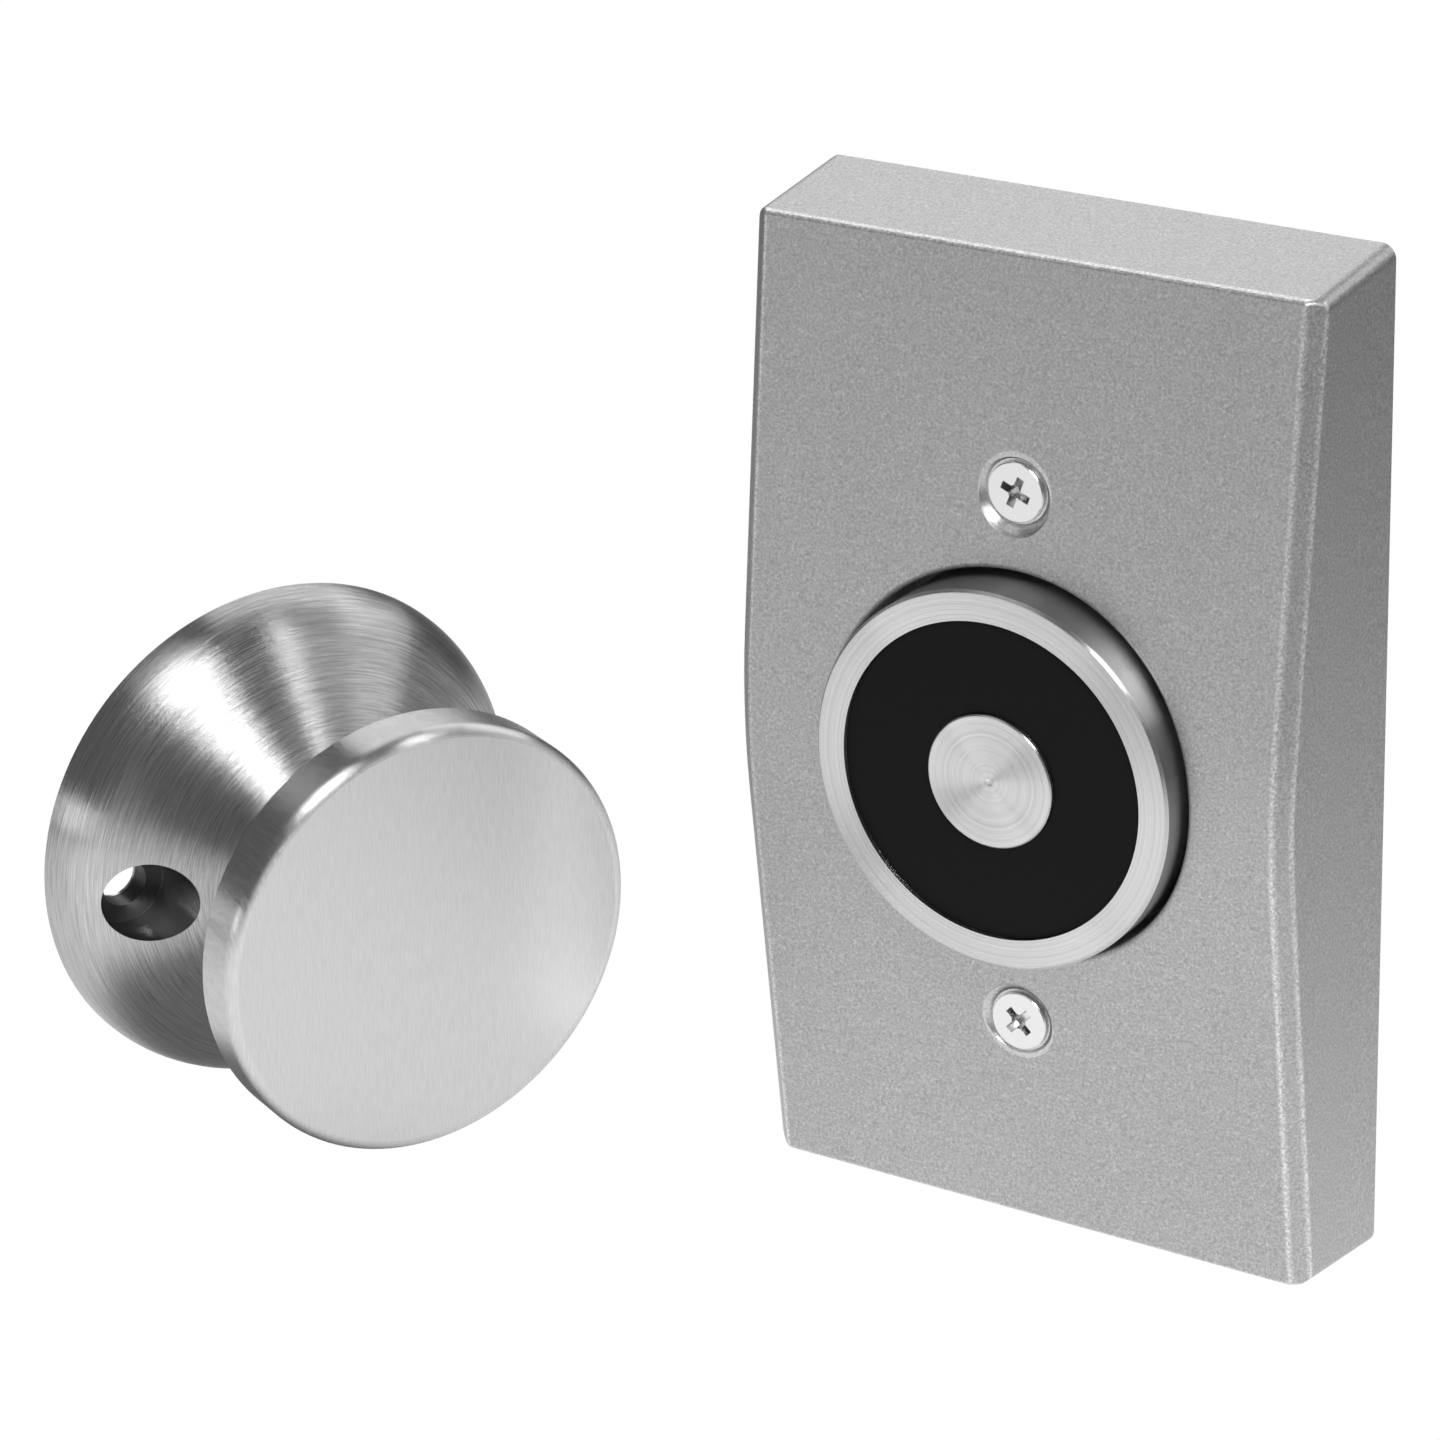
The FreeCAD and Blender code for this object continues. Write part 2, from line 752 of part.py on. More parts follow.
def make_standoff(across, up):
    standoff = new_body("standoff")
    sketch = new_sketch(standoff, lift="board_front")
    add_hexagon(sketch, "standoff_flats")
    pad(standoff, sketch, "board_gap")
    sketch = new_sketch(standoff, lift="-board_gap / 4")
    add_circle(sketch, "board_screw_radius")
    pad(standoff, sketch, "board_gap / 4 + standoff_spigot")
    sketch = new_sketch(standoff, lift="board_front")
    add_circle(sketch, "board_screw_radius + tap_gap")
    cut(standoff, sketch, "board_gap * 0.7", outward=True)
    standoff.Placement = on_wall(across, up)
    return standoff


def make_board_screw(across, up):
    tip = "board_front + board_gap / 2"
    crown = "board_rear - board_head_height"
    screw = turn("board_screw", [
        ("0", crown),
        ("board_head_radius * 0.7", crown),
        ("board_head_radius", crown + " + board_head_height / 2"),
        ("board_head_radius", "board_rear"),
        ("board_screw_radius", "board_rear"),
        ("board_screw_radius", tip),
        ("0", tip),
    ])
    sketch = new_sketch(screw, lift=crown)
    add_cross(sketch, "board_head_radius * 0.5", "cross_width / 2")
    cut(screw, sketch, "board_head_height / 2", outward=True)
    screw.Placement = on_wall(across, up)
    return screw


def make_board():
    board = new_body("circuit_board")
    sketch = new_sketch(board, lift="board_rear")
    add_box(sketch, "board_width", "board_height")
    pad(board, sketch, "board_thickness")
    soften(board, "Fillet", "board_thickness", lambda edge, middle:
           abs(edge.Vertexes[0].Point.z - edge.Vertexes[1].Point.z) > 1e-3)
    sketch = new_sketch(board, lift="board_rear")
    for side in ("", "-"):
        add_circle(sketch, "pin_radius + slide_gap", across=side + "pin_offset")
    for across, up in board_corners:
        add_circle(sketch, "board_screw_radius + seat_gap", across, up)
    cut(board, sketch, outward=True)
    board.Placement = on_wall()
    return board


def terminal_places():
    # Across position of each clamp screw, from the middle of the block.
    count = int(size("terminal_count"))
    return ["terminal_pitch * %g" % (number - (count - 1) / 2) for number in range(count)]


def make_terminal_block():
    block = new_body("terminal_block")
    sketch = new_sketch(block, lift="terminal_back")
    add_box(sketch, "terminal_length", "terminal_depth", upward="terminal_up")
    pad(block, sketch, "terminal_height")
    back = size("terminal_back")
    soften(block, "Chamfer", "terminal_depth / 8", lambda edge, middle:
           abs(middle.z - back) < 1e-3 and edge.Length > size("terminal_depth") * 1.5)
    sketch = new_sketch(block, lift="terminal_back")
    for place in terminal_places():
        add_circle(sketch, "terminal_screw_radius + loose_gap", place, "terminal_up")
    cut(block, sketch, "terminal_height * 0.35", outward=True)
    sketch = new_sketch(block, "XZ_Plane", lift="terminal_depth / 2 - terminal_up")
    window_up = "board_rear - terminal_height * 0.4 - wire_window / 2"
    for place in terminal_places():
        add_box(sketch, "wire_window", "wire_window", place, window_up)
    cut(block, sketch, "terminal_depth * 0.6")
    block.Placement = on_wall()
    return block


def make_terminal_screw(place):
    low = "terminal_back + edge_break"
    high = "terminal_back + terminal_height * 0.35"
    screw = turn("terminal_screw", [
        ("0", low),
        ("terminal_screw_radius", low),
        ("terminal_screw_radius", high),
        ("0", high),
    ])
    sketch = new_sketch(screw, lift=low)
    add_box(sketch, "terminal_screw_radius * 3", "edge_break * 1.5")
    cut(screw, sketch, "edge_break * 2", outward=True)
    screw.Placement = on_wall(place, "terminal_up")
    return screw


def make_bridge():
    bridge = new_body("bridge_rectifier")
    sketch = new_sketch(bridge, lift="board_rear - bridge_height - edge_break")
    add_box(sketch, "bridge_width", "bridge_length", "bridge_across", "bridge_up")
    pad(bridge, sketch, "bridge_height")
    back = size("board_rear - bridge_height - edge_break")
    soften(bridge, "Chamfer", "bridge_height / 8", lambda edge, middle: abs(middle.z - back) < 1e-3)
    sketch = new_sketch(bridge, lift="board_rear")
    for side in ("-", "+"):
        for end in ("-", "+"):
            across = "bridge_across %s (bridge_width / 2 - lead_radius)" % side
            upward = "bridge_up %s bridge_length / 4" % end
            add_box(sketch, "lead_radius * 2", "lead_radius * 3", across, upward)
    pad(bridge, sketch, "bridge_height / 2", reverse=True)
    sketch = new_sketch(bridge, lift="board_rear - bridge_height - edge_break")
    add_circle(sketch, "bridge_width / 10", "bridge_across", "bridge_up + bridge_length / 2")
    cut(bridge, sketch, "edge_break", outward=True)
    bridge.Placement = on_wall()
    return bridge


def make_capacitor():
    foot = "-edge_break"
    top = "-edge_break - capacitor_height"
    groove = "capacitor_radius - edge_break"
    can = turn("capacitor", [
        ("0", foot),
        ("capacitor_radius", foot),
        ("capacitor_radius", foot + " - 3 * edge_break"),
        (groove, foot + " - 4 * edge_break"),
        (groove, foot + " - 5 * edge_break"),
        ("capacitor_radius", foot + " - 6 * edge_break"),
        ("capacitor_radius", top + " + edge_break"),
        ("capacitor_radius - edge_break", top),
        ("0", top),
    ])
    sketch = new_sketch(can)
    for side in ("", "-"):
        add_circle(sketch, "lead_radius", across=side + "capacitor_radius / 3")
    pad(can, sketch, "edge_break * 2", reverse=True)
    can.Placement = on_wall("capacitor_across", "capacitor_up", "board_rear")
    return can


def make_varistor():
    varistor = new_body("varistor")
    sketch = new_sketch(varistor, "XZ_Plane", lift="-varistor_up")
    add_circle(sketch, "varistor_radius", upward="board_rear - varistor_lift - varistor_radius")
    pad(varistor, sketch, "varistor_thickness", symmetric=True)
    soften(varistor, "Fillet", "varistor_thickness / 4",
           lambda edge, middle: is_circle(edge, "varistor_radius"))
    sketch = new_sketch(varistor, lift="board_rear")
    for side in ("", "-"):
        add_circle(sketch, "lead_radius", side + "varistor_radius / 2", "varistor_up")
    pad(varistor, sketch, "varistor_lift + varistor_radius / 2", reverse=True)
    varistor.Placement = on_wall()
    return varistor


def make_armature_plate():
    thread = "stud_thread_radius + tap_gap"
    hole_end = "disc_rear + stud_thread_length + loose_gap"
    near_edge = "disc_radius - disc_round * (1 - sqrt(0.5))"
    near_face = "armature_depth - disc_round * (1 - sqrt(0.5))"
    disc = turn("armature_plate", [
        (thread, "disc_rear"),
        ("disc_radius - disc_back_edge", "disc_rear"),
        ("disc_radius", "disc_rear + disc_back_edge"),
        ("disc_radius", "armature_depth - disc_round"),
        ("disc_radius - disc_round", "armature_depth"),
        ("0", "armature_depth"),
        ("0", hole_end),
        (thread, hole_end),
    ], {3: ("disc_round", near_edge, near_face)})
    disc.Placement = on_door()
    return disc


def make_ball_stud():
    flat = "ball_radius / 4"
    flat_up = "ball_centre - sqrt(ball_radius ^ 2 - (%s) ^ 2)" % flat
    neck_low = "ball_centre + sqrt(ball_radius ^ 2 - stud_neck_radius ^ 2)"
    tip = "disc_rear + stud_thread_length"
    stud = turn("ball_stud", [
        ("0", flat_up),
        (flat, flat_up),
        ("stud_neck_radius", neck_low),
        ("stud_neck_radius", "disc_rear - stud_shoulder"),
        ("stud_shoulder_radius", "disc_rear - stud_shoulder"),
        ("stud_shoulder_radius", "disc_rear"),
        ("stud_thread_radius", "disc_rear"),
        ("stud_thread_radius", tip + " - edge_break"),
        ("stud_thread_radius - edge_break", tip),
        ("0", tip),
    ], {1: ("ball_radius", "ball_radius", "ball_centre")})
    stud.Placement = on_door()
    return stud


def make_swivel_seat():
    outer = "socket_radius - slide_gap"
    rim = "sqrt(ball_seat ^ 2 - (ball_centre - seat_front) ^ 2)"
    bore_top = "ball_centre - sqrt(ball_seat ^ 2 - seat_bore ^ 2)"
    half = "ball_seat * sqrt(0.5)"
    seat = turn("swivel_seat", [
        ("seat_bore", "seat_rear"),
        (outer + " - edge_break", "seat_rear"),
        (outer, "seat_rear + edge_break"),
        (outer, "seat_front"),
        (rim, "seat_front"),
        ("seat_bore", bore_top),
    ], {4: ("ball_seat", half, "ball_centre - " + half)})
    seat.Placement = on_door()
    return seat


def make_disc_spring():
    outer = "socket_radius - loose_gap"
    spring = turn("disc_spring", [
        (outer, "snap_end"),
        (outer, "snap_end + spring_thickness"),
        ("spring_bore", "snap_end + spring_height"),
        ("spring_bore", "snap_end + spring_height - spring_thickness"),
    ])
    spring.Placement = on_door()
    return spring


def make_retaining_ring():
    ring = new_body("retaining_ring")
    outer = "snap_radius - slide_gap"
    inner = "snap_radius - snap_width"
    thickness = "snap_thickness - 2 * slide_gap"
    lift = "snap_groove_start + slide_gap"
    sketch = new_sketch(ring, lift=lift)
    add_circle(sketch, outer)
    add_circle(sketch, inner)
    pad(ring, sketch, thickness)
    sketch = new_sketch(ring, lift=lift)
    reach = "(snap_radius + cut_over)"
    add_outline(sketch, [
        ("0", "0"),
        ("%s * tan(snap_opening / 2)" % reach, reach),
        ("-%s * tan(snap_opening / 2)" % reach, reach),
    ])
    cut(ring, sketch, outward=True)
    for radius in ("snap_width", "snap_width / 3"):
        sketch = new_sketch(ring, lift=lift)
        for side in ("", "-"):
            across = "%s(%s) * sin(snap_opening / 2 + 8)" % (side, inner)
            add_circle(sketch, radius + " * 0.8", across, "(%s) * cos(snap_opening / 2 + 8)" % inner)
        if radius == "snap_width":
            pad(ring, sketch, thickness)
        else:
            cut(ring, sketch, outward=True)
    ring.Placement = on_door()
    return ring


def make_door_base():
    diagonal = "sqrt(0.5)"
    centre = "(base_radius - shoulder_radius)"
    base = turn("door_base", [
        ("socket_radius", "0"),
        ("base_radius", "0"),
        ("flank_start", "flank_low"),
        ("neck_radius", "flank_high"),
        ("neck_radius", "neck_height - edge_break"),
        ("neck_radius - edge_break", "neck_height"),
        ("lip_radius + lip_flare", "neck_height"),
        ("lip_radius", "lip_height"),
        ("ball_seat", "ball_centre"),
        ("ball_seat", "socket_top"),
        ("socket_radius", "socket_top"),
        ("socket_radius", "snap_end"),
        ("snap_radius", "snap_end"),
        ("snap_radius", "snap_groove_start"),
        ("socket_radius", "snap_groove_start"),
    ], {
        1: ("shoulder_radius", "%s + shoulder_radius * %s" % (centre, diagonal),
            "shoulder_radius * " + diagonal),
        7: ("ball_seat", "ball_seat * sqrt(0.75)", "ball_centre + ball_seat / 2"),
    })
    soften(base, "Fillet", "neck_round", lambda edge, middle: is_circle(edge, "neck_radius")
           and abs(middle.z - size("flank_high")) < 1e-3)
    sketch = new_sketch(base, lift="counterbore_floor")
    for side in ("", "-"):
        add_circle(sketch, "counterbore_radius", across=side + "door_screw_radius")
    cut(base, sketch, outward=True)
    sketch = new_sketch(base)
    for side in ("", "-"):
        add_circle(sketch, "door_hole_radius", across=side + "door_screw_radius")
    cut(base, sketch, outward=True)
    base.Placement = on_door()
    return base


pieces = [
    make_cover(),
    group_of("cover_screws", [
        make_cover_screw("cover_screw_rise", size("upper_turn")),
        make_cover_screw("-cover_screw_rise", size("lower_turn")),
    ]),
    make_pot(),
    make_core(),
    make_potting(),
    make_bobbin(),
    make_winding(),
    group_of("coil_pins", [make_coil_pin(""), make_coil_pin("-")]),
    make_core_screw(),
    make_lock_washer(),
    make_bracket(),
    group_of("board_standoffs", [make_standoff(*place) for place in board_corners]),
    group_of("board_screws", [make_board_screw(*place) for place in board_corners]),
    make_board(),
    make_terminal_block(),
    group_of("terminal_screws", [make_terminal_screw(place) for place in terminal_places()]),
    make_bridge(),
    make_capacitor(),
    make_varistor(),
    make_armature_plate(),
    make_ball_stud(),
    make_swivel_seat(),
    make_disc_spring(),
    make_retaining_ring(),
    make_door_base(),
]
doc.recompute()

for thing in doc.Objects:
    if "Invalid" in thing.State or "Error" in thing.State:
        raise RuntimeError("%s is %s" % (thing.Name, thing.State))
for piece in pieces:
    if piece.Shape.isNull() or not piece.Shape.isValid() or not piece.Shape.Solids:
        raise RuntimeError("%s has no sound shape" % piece.Label)

os.makedirs("parts", exist_ok=True)
for piece in pieces:
    piece.Shape.exportStep("parts/%s.step" % piece.Label)
    print("%-20s %d solid(s) %9.1f mm3" % (piece.Label, len(piece.Shape.Solids), piece.Shape.Volume))
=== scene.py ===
import math

import bmesh
import bpy
from mathutils import Matrix, Vector

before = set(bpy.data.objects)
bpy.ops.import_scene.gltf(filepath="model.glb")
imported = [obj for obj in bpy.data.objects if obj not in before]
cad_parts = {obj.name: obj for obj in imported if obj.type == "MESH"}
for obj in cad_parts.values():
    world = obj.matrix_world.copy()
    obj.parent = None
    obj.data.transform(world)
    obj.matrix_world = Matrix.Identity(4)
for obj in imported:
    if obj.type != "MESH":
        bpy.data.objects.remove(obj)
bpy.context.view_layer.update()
print("frame loaded:", len(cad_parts), "nodes")

# The wall half sits round the Y axis. The door half has an axis of its own, a little tipped.
doorAxis = {
    "rear": Vector((-0.0972, -0.02305, -0.0271763)),
    "yaw": math.radians(66.6),
    "lean": math.radians(92.4),
}
doorTurn = Matrix.Rotation(doorAxis["yaw"], 3, "Z") @ Matrix.Rotation(doorAxis["lean"], 3, "X")
doorPlace = Matrix.Translation(doorAxis["rear"]) @ doorTurn.to_4x4()
wallPlace = Matrix.Rotation(math.radians(90), 4, "X")


class Socket:
    # Wraps one outlet of a node, so that shader maths reads as plain maths.
    def __init__(self, tree, outlet):
        self.tree = tree
        self.outlet = outlet

    def node(self, kind, settings, values, outlet=0):
        made = self.tree.nodes.new("ShaderNode" + kind)
        for name, setting in settings.items():
            setattr(made, name, setting)
        for name, value in values.items():
            if isinstance(value, Socket):
                self.tree.links.new(value.outlet, made.inputs[name])
            else:
                made.inputs[name].default_value = value
        return Socket(self.tree, made.outputs[outlet])

    def maths(self, operation, first, second=0.0):
        return self.node("Math", {"operation": operation}, {0: first, 1: second})

    def __add__(self, other):
        return self.maths("ADD", self, other)

    def __radd__(self, other):
        return self.maths("ADD", other, self)

    def __sub__(self, other):
        return self.maths("SUBTRACT", self, other)

    def __rsub__(self, other):
        return self.maths("SUBTRACT", other, self)

    def __mul__(self, other):
        return self.maths("MULTIPLY", self, other)

    def __rmul__(self, other):
        return self.maths("MULTIPLY", other, self)

    def __truediv__(self, other):
        return self.maths("DIVIDE", self, other)

    def __rtruediv__(self, other):
        return self.maths("DIVIDE", other, self)

    def __pow__(self, other):
        return self.maths("POWER", self, other)

    def __rpow__(self, other):
        return self.maths("POWER", other, self)


def absolute(value):
    return value.maths("ABSOLUTE", value)


def positive(value):
    # The value itself, and 0 where it is below that.
    return value.maths("MAXIMUM", value)


def above(value, limit=0.0):
    # 1 where value is over the limit, and 0 elsewhere.
    return value.maths("GREATER_THAN", value, limit)


def below(value, limit):
    return value.maths("LESS_THAN", value, limit)


def squares(first, second):
    return first * first + second * second


def newSurface(name):
    material = bpy.data.materials.new(name)
    material.use_nodes = True
    tree = material.node_tree
    tree.nodes.clear()
    place = Socket(tree, tree.nodes.new("ShaderNodeTexCoord").outputs["Object"])
    return material, place


def onAxis(place, stand):
    # Coordinates of a turned piece: two across its axis, and the third along it.
    back = stand.inverted()
    return place.node("Mapping", {}, {
        "Vector": place,
        "Location": back.translation,
        "Rotation": Vector(back.to_euler("XYZ")),
    })


def split(place):
    made = place.node("SeparateXYZ", {}, {"Vector": place})
    return [Socket(place.tree, outlet) for outlet in made.outlet.node.outputs]


def join(across, upward, along):
    return across.node("CombineXYZ", {}, {"X": across, "Y": upward, "Z": along})


def noise(place, scale, detail=2.0, rough=0.5):
    return place.node("TexNoise", {}, {
        "Vector": place, "Scale": scale, "Detail": detail, "Roughness": rough,
    }, "Fac")


def mixTone(place, factor, first, second):
    return place.node("Mix", {"data_type": "RGBA"}, {0: factor, 6: first, 7: second}, 2)


def vectors(operation, first, second=(0, 0, 0)):
    return first.node("VectorMath", {"operation": operation}, {0: first, 1: second}, "Vector")


def turnedLay(place, stand, look):
    # Tool marks of a lathe: close together across them, long round the axis.
    across, upward, along = split(onAxis(place, stand))
    radius = squares(across, upward) ** 0.5
    divider = radius + 1e-6  # never quite nothing, so the centre is safe
    spot = join(radius * look["fine"], along * look["fine"], across / divider * look["around"])
    return spot.node("TexNoise", {"noise_dimensions": "4D"}, {
        "Vector": spot, "W": upward / divider * look["around"],
        "Scale": 1.0, "Detail": 3.0, "Roughness": 0.6,
    }, "Fac")


def brushedFacing(place, stand, spread):
    # The finest marks are too small to see. They only tip the surface across themselves, at random,
    # which draws each light out along the slope, as turned metal does.
    axis = Vector(stand.col[2][:3])
    facing = Socket(place.tree, place.outlet.node.outputs["Normal"])
    outward = vectors("SUBTRACT", place, stand.translation)
    around = vectors("NORMALIZE", vectors("CROSS_PRODUCT", outward, axis))
    slope = vectors("CROSS_PRODUCT", facing, around)
    chance = split(place.node("TexWhiteNoise", {}, {"Vector": place}, "Color"))
    tip = (chance[0] + chance[1] + chance[2] - 1.5) * (spread * 2)  # mostly small, seldom large
    tipped = vectors("ADD", facing, vectors("MULTIPLY", slope, join(tip, tip, tip)))
    tipped = vectors("NORMALIZE", tipped)
    return tipped.node("VectorTransform", {
        "vector_type": "NORMAL", "convert_from": "OBJECT", "convert_to": "WORLD",
    }, {"Vector": tipped})


def shade(material, place, values, height=None, depth=0.0, facing=None):
    if height is not None:
        bump = {"Strength": 1.0, "Distance": depth, "Height": height}
        if facing is not None:
            bump["Normal"] = facing
        values["Normal"] = place.node("Bump", {}, bump)
    shader = place.node("BsdfPrincipled", {}, values)
    out = place.tree.nodes.new("ShaderNodeOutputMaterial")
    place.tree.links.new(shader.outlet, out.inputs["Surface"])


def dress(material, *nodes):
    for name in nodes:
        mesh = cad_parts[name].data
        mesh.materials.clear()
        mesh.materials.append(material)


# Cover: silver lacquer with a fine metallic grain. Along the front's edges a painted highlight
# brightens the colour, where the rounded edges catch the light.
coverLook = {
    "tone": 0.52,
    "metal": 0.85,
    "rough": 0.46,
    "roughVary": 0.15,
    "grain": 1.2,
    "grainSize": 0.0003,
    "grainDepth": 0.000014,
    "cloud": 0.03,
    "cloudScale": 60.0,
    "spark": 0.9,  # flakes that catch the light
    "sparkSize": 0.00017,
    "sparkFrom": 0.62,
    "crown": 0.02221,  # the front's depth and its bow
    "fall": 0.114,
    "bend": 0.004,
    "chamfer": 0.0017,
    "frontEdge": 0.03175,  # where the painted edge highlights run
    "sideEdge": 0.033,
    "endEdge": 0.05535,
    "edgeWidth": 0.00045,
    "edgeDepth": 0.0009,
    "edgeHighlightStrength": 1.0,
    "dishRise": 0.03045,  # the dishes under the screw heads
    "dishReach": 0.0044,
    "dishRough": 0.33,
    "dishTone": 0.16,
}
material, place = newSurface("silverLacquer")
across, inward, upward = split(place)
grain = noise(place, 1 / coverLook["grainSize"], rough=0.6)
cloud = noise(place, coverLook["cloudScale"], detail=0.0)
spark = noise(place, 1 / coverLook["sparkSize"], detail=0.0) - coverLook["sparkFrom"]
beside = absolute(across)
end = absolute(upward)
bow = coverLook["fall"] * (upward * upward + coverLook["bend"] ** 2) ** 0.5
ahead = 0 - inward - (coverLook["crown"] - bow)  # how far in front of the bowed face


def paintedHighlightLine(distance, inside):
    # A soft line where distance is nothing, only where inside is positive: the mask of a painted
    # highlight.
    return positive(1 - absolute(distance) / coverLook["edgeWidth"]) * above(inside)


# Painted highlight: bright lines along the front's edges, the chamfer and the ends, standing in for
# light caught by the rounded edges.
paintedEdgeHighlights = paintedHighlightLine(beside - coverLook["frontEdge"], ahead + coverLook["edgeDepth"])
paintedEdgeHighlights = paintedEdgeHighlights + paintedHighlightLine(ahead + coverLook["chamfer"], beside - coverLook["sideEdge"])
paintedEdgeHighlights = paintedEdgeHighlights + paintedHighlightLine(end - coverLook["endEdge"], ahead + coverLook["edgeDepth"])
tone = coverLook["tone"] * (1 + (grain - 0.5) * coverLook["grain"] + (cloud - 0.5) * coverLook["cloud"])
tone = tone * (1 + paintedEdgeHighlights * grain * coverLook["edgeHighlightStrength"]) + positive(spark) * coverLook["spark"]
dish = below(squares(across, end - coverLook["dishRise"]), coverLook["dishReach"] ** 2)
smoother = dish * (coverLook["rough"] - coverLook["dishRough"])
shade(material, place, {
    "Base Color": tone + dish * coverLook["dishTone"],
    "Metallic": coverLook["metal"],
    "Roughness": coverLook["rough"] + (grain - 0.5) * coverLook["roughVary"] - smoother,
}, grain, coverLook["grainDepth"])
dress(material, "cover")
print("cover dressed")

# Magnet's pot and core: turned and plated steel.
ringLook = {
    "tone": 0.69,
    "vary": 0.5,
    "rough": 0.16,
    "roughVary": 0.2,
    "depth": 0.000008,
    "fine": 11000.0,
    "around": 0.12,
    "spread": 0.3,
    "centreHighlight": 0.0005,  # the radius of a painted highlight at the centre, where the turned tip catches the light
    "centreHighlightTone": 0.3,
}
material, place = newSurface("turnedPlate")
marks = turnedLay(place, wallPlace, ringLook)
across, upward = split(onAxis(place, wallPlace))[:2]
# Painted highlight: the colour is brightened in a small spot at the centre of the core.
centreHighlight = positive(1 - squares(across, upward) ** 0.5 / ringLook["centreHighlight"])
shade(material, place, {
    "Base Color": ringLook["tone"] + (marks - 0.5) * ringLook["vary"] + centreHighlight * ringLook["centreHighlightTone"],
    "Metallic": 1.0,
    "Roughness": ringLook["rough"] + (marks - 0.5) * ringLook["roughVary"],
}, marks, ringLook["depth"], brushedFacing(place, wallPlace, ringLook["spread"]))
dress(material, "magnet_pot", "magnet_core")

# Black potting between them.
pottingLook = {
    "tone": 0.012,
    "vary": 0.003,
    "rough": 0.55,
    "roughVary": 0.1,
    "shine": 0.08,
    "scale": 900.0,
    "depth": 0.000004,
}
material, place = newSurface("blackPotting")
skin = noise(place, pottingLook["scale"], detail=3.0)
shade(material, place, {
    "Base Color": pottingLook["tone"] + (skin - 0.5) * pottingLook["vary"],
    "Roughness": pottingLook["rough"] + (skin - 0.5) * pottingLook["roughVary"],
    "Specular IOR Level": pottingLook["shine"],
}, skin, pottingLook["depth"])
dress(material, "potting_ring")
print("magnet dressed")

# Screws: bright nickel.
screwLook = {
    "tone": 0.86,
    "vary": 0.08,
    "rough": 0.22,
    "roughVary": 0.2,
    "scale": 4000.0,
    "depth": 0.000002,
}
material, place = newSurface("brightNickel")
skin = noise(place, screwLook["scale"], detail=3.0)
shade(material, place, {
    "Base Color": screwLook["tone"] + (skin - 0.5) * screwLook["vary"],
    "Metallic": 1.0,
    "Roughness": screwLook["rough"] + (skin - 0.5) * screwLook["roughVary"],
}, skin, screwLook["depth"])
dress(material, "cover_screws")
print("screws dressed")

# Armature disc: its face is brushed in one direction, its round side is turned.
discLook = {
    "tone": 0.68,
    "vary": 0.25,
    "rough": 0.33,
    "roughVary": 0.15,
    "depth": 0.000005,
    "fine": 6500.0,
    "long": 420.0,
    "faceRadius": 0.0243,
    "sideRough": 0.18,
    "spread": 0.24,
}
material, place = newSurface("brushedDisc")
across, upward, along = split(onAxis(place, doorPlace))
hair = join(across * discLook["fine"], upward * discLook["long"], along * discLook["long"])
hairs = noise(hair, 1.0, detail=3.0, rough=0.6)
side = above(squares(across, upward), discLook["faceRadius"] ** 2)
smoother = side * (discLook["rough"] - discLook["sideRough"])
shade(material, place, {
    "Base Color": discLook["tone"] + (hairs - 0.5) * discLook["vary"],
    "Metallic": 1.0,
    "Roughness": discLook["rough"] + (hairs - 0.5) * discLook["roughVary"] - smoother,
}, hairs, discLook["depth"], brushedFacing(place, doorPlace, side * discLook["spread"]))
dress(material, "armature_plate")

# Door base: turned, then brushed round its axis, with painted shade darkening the bores of two screw
# holes.
baseLook = {
    "tone": 0.58,
    "vary": 0.8,
    "rough": 0.18,
    "roughVary": 0.2,
    "depth": 0.00002,
    "fine": 7500.0,
    "around": 5.0,
    "spread": 0.26,
    "holeReach": 0.0215,
    "holeRadius": 0.00484,
    "holeShadeTone": 0.13,
    "holeRough": 0.2,
    "rearSkin": 0.0004,  # the rear face round a hole is left out of the painted shade
}
material, place = newSurface("brushedBase")
marks = turnedLay(place, doorPlace, baseLook)
across, upward, along = split(onAxis(place, doorPlace))
fromHole = squares(absolute(across) - baseLook["holeReach"], upward)
# Painted shade: the bores are darkened as the shade in a deep hole would darken them.
paintedHoleShade = below(fromHole, baseLook["holeRadius"] ** 2) * above(absolute(along), baseLook["rearSkin"])
tone = baseLook["tone"] + (marks - 0.5) * baseLook["vary"]
rough = baseLook["rough"] + (marks - 0.5) * baseLook["roughVary"]
shade(material, place, {
    "Base Color": tone * (1 - paintedHoleShade * (1 - baseLook["holeShadeTone"])),
    "Metallic": 1.0,
    "Roughness": rough + paintedHoleShade * baseLook["holeRough"],
}, marks, baseLook["depth"], brushedFacing(place, doorPlace, baseLook["spread"]))
dress(material, "door_base")
print("door half dressed")

